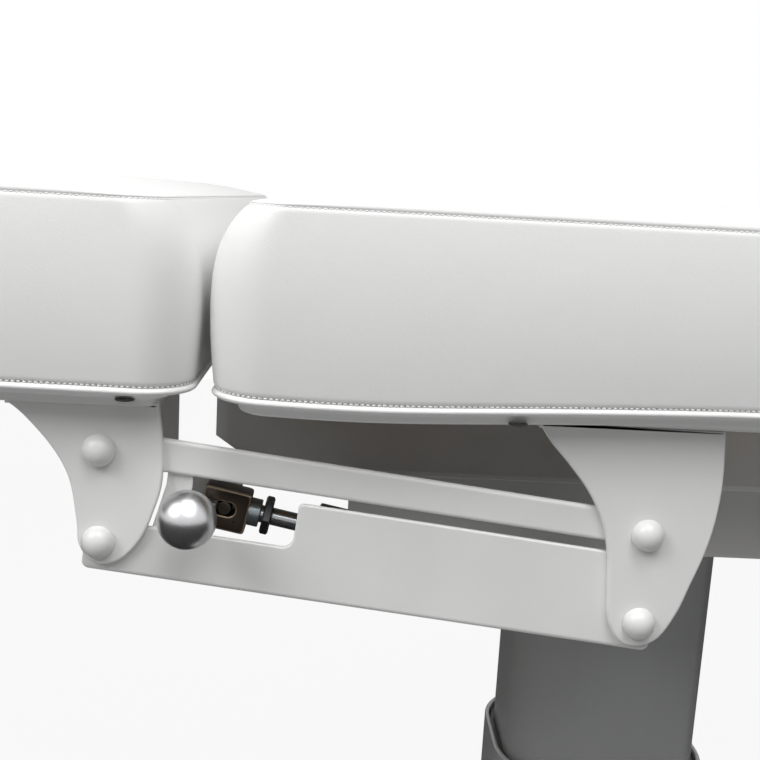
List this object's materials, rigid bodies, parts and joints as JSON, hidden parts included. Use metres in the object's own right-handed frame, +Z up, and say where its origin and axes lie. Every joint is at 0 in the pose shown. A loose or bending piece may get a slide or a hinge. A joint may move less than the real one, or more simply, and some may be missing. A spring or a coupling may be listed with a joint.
{
  "type": "electric beauty bed",
  "caption": "White upholstered electric treatment bed on lifting columns, with a headrest on gas-sprung parallel links and hinged back and leg sections.",
  "frame": {"origin": "on the floor under the middle of the bed", "axes": "+X towards the foot end, +Z up, -Y the near side with the gas spring"},
  "size_m": [1.92, 0.723, 0.909],
  "materials": {
    "white_leather": "fine-grained white upholstery, satin",
    "white_paint": "white powder coat",
    "grey_paint": "dark grey semi-gloss paint",
    "silver_paint": "silver-grey paint",
    "birch_ply": "plain plywood",
    "steel": "ground steel",
    "chrome": "satin chrome",
    "bronze": "dark bronze passivated",
    "black_plastic": "matt black",
    "spring_black": "black enamel",
    "rubber": "matt black"
  },
  "bodies": {
    "base": {"base_pan": "white_paint", "column_glide_foot": "black_plastic", "column_glide_head": "black_plastic", "column_sleeve_foot": "silver_paint", "column_sleeve_head": "silver_paint", "levelling_foot_foot_far": "rubber", "levelling_foot_foot_near": "rubber", "levelling_foot_head_far": "rubber", "levelling_foot_head_near": "rubber", "lift_drive_foot": "black_plastic", "lift_drive_head": "black_plastic"},
    "chassis": {"chassis_cross_foot": "grey_paint", "chassis_cross_head": "grey_paint", "chassis_rail_far": "grey_paint", "chassis_rail_near": "grey_paint", "column_inner_foot": "silver_paint", "column_inner_head": "silver_paint", "control_box": "black_plastic", "seat_board": "birch_ply", "seat_cushion": "white_leather", "seat_side_far": "grey_paint", "seat_side_near": "grey_paint", "back_drive": "black_plastic", "leg_drive": "black_plastic"},
    "back": {"back_board": "birch_ply", "back_bracket_far": "white_paint", "back_bracket_near": "white_paint", "back_cross_head": "grey_paint", "back_cross_lever": "grey_paint", "back_cushion": "white_leather", "back_side_far": "grey_paint", "back_side_near": "grey_paint", "bolt_back_lower_far": "white_paint", "bolt_back_lower_near": "white_paint", "bolt_back_upper_far": "white_paint", "bolt_back_upper_near": "white_paint"},
    "upper_link": {"upper_bar_near": "white_paint", "upper_bar_far": "white_paint"},
    "lower_link": {"lower_plate_near": "white_paint", "lower_plate_far": "white_paint"},
    "headrest": {"bolt_headrest_lower_far": "white_paint", "bolt_headrest_lower_near": "white_paint", "bolt_headrest_upper_far": "white_paint", "bolt_headrest_upper_near": "white_paint", "headrest_board": "birch_ply", "headrest_bracket_far": "white_paint", "headrest_bracket_near": "white_paint", "headrest_cross": "grey_paint", "headrest_cushion": "white_leather"},
    "gas_body": {"gas_cylinder": "spring_black"},
    "gas_piston": {"gas_rod": "steel", "release_head": "bronze"},
    "lever": {"release_lever": "chrome"},
    "back_push": {"back_rod": "steel"},
    "leg": {"leg_board": "birch_ply", "leg_cross_lever": "grey_paint", "leg_cushion": "white_leather", "leg_side_far": "grey_paint", "leg_side_near": "grey_paint"},
    "leg_push": {"leg_rod": "steel"}
  },
  "joints": [
    {"name": "height_lift", "type": "slide", "parent": "base", "child": "chassis", "axis": [0, 0, 1], "range_m": [-0.21, 0.04]},
    {"name": "back_tilt", "type": "hinge", "parent": "chassis", "child": "back", "pos_m": [-0.06, 0, 0.8635], "axis": [0, 1, 0], "range_deg": [0, 65]},
    {"name": "leg_tilt", "type": "hinge", "parent": "chassis", "child": "leg", "pos_m": [0.386, 0, 0.776], "axis": [0, 1, 0], "range_deg": [0, 65]},
    {"name": "headrest_lift", "type": "hinge", "parent": "back", "child": "upper_link", "pos_m": [-0.386, 0, 0.729], "axis": [0, 1, 0], "range_deg": [-13, 3]},
    {"name": "lower_link_turn", "type": "hinge", "parent": "back", "child": "lower_link", "pos_m": [-0.386, 0, 0.678], "axis": [0, 1, 0], "range_deg": [-13.2, 3.2]},
    {"name": "headrest_turn", "type": "hinge", "parent": "upper_link", "child": "headrest", "pos_m": [-0.68407, 0, 0.76296], "axis": [0, 1, 0], "range_deg": [-3.2, 13.2]},
    {"name": "gas_spring_swing", "type": "hinge", "parent": "back", "child": "gas_body", "pos_m": [-0.386, -0.2885, 0.678], "axis": [0, 1, 0], "range_deg": [-13.2, 3.2]},
    {"name": "gas_spring_slide", "type": "slide", "parent": "gas_body", "child": "gas_piston", "axis": [-0.98, 0, 0.1989], "range_m": [-0.013, 0.004]},
    {"name": "release_lever", "type": "hinge", "parent": "gas_piston", "child": "lever", "pos_m": [-0.62784, -0.301, 0.72709], "axis": [0.1989, 0, 0.98], "range_deg": [0, 8], "stiffness_Nm_per_rad": 1.2, "springref_deg": -2.86},
    {"name": "back_push_slide", "type": "slide", "parent": "chassis", "child": "back_push", "axis": [-1, 0, 0], "range_m": [-0.001, 0.154]},
    {"name": "leg_push_slide", "type": "slide", "parent": "chassis", "child": "leg_push", "axis": [-1, 0, 0], "range_m": [-0.001, 0.148]}
  ],
  "couplings": [
    {"joint": "lower_link_turn", "follows": "headrest_lift", "ratio": 1},
    {"joint": "headrest_turn", "follows": "headrest_lift", "ratio": -1},
    {"joint": "gas_spring_swing", "follows": "headrest_lift", "ratio": 0.9755},
    {"joint": "gas_spring_slide", "follows": "headrest_lift", "m_per_rad": 0.0505},
    {"joint": "back_push_slide", "follows": "back_tilt", "m_per_rad": 0.13389},
    {"joint": "leg_push_slide", "follows": "leg_tilt", "m_per_rad": 0.12897}
  ]
}
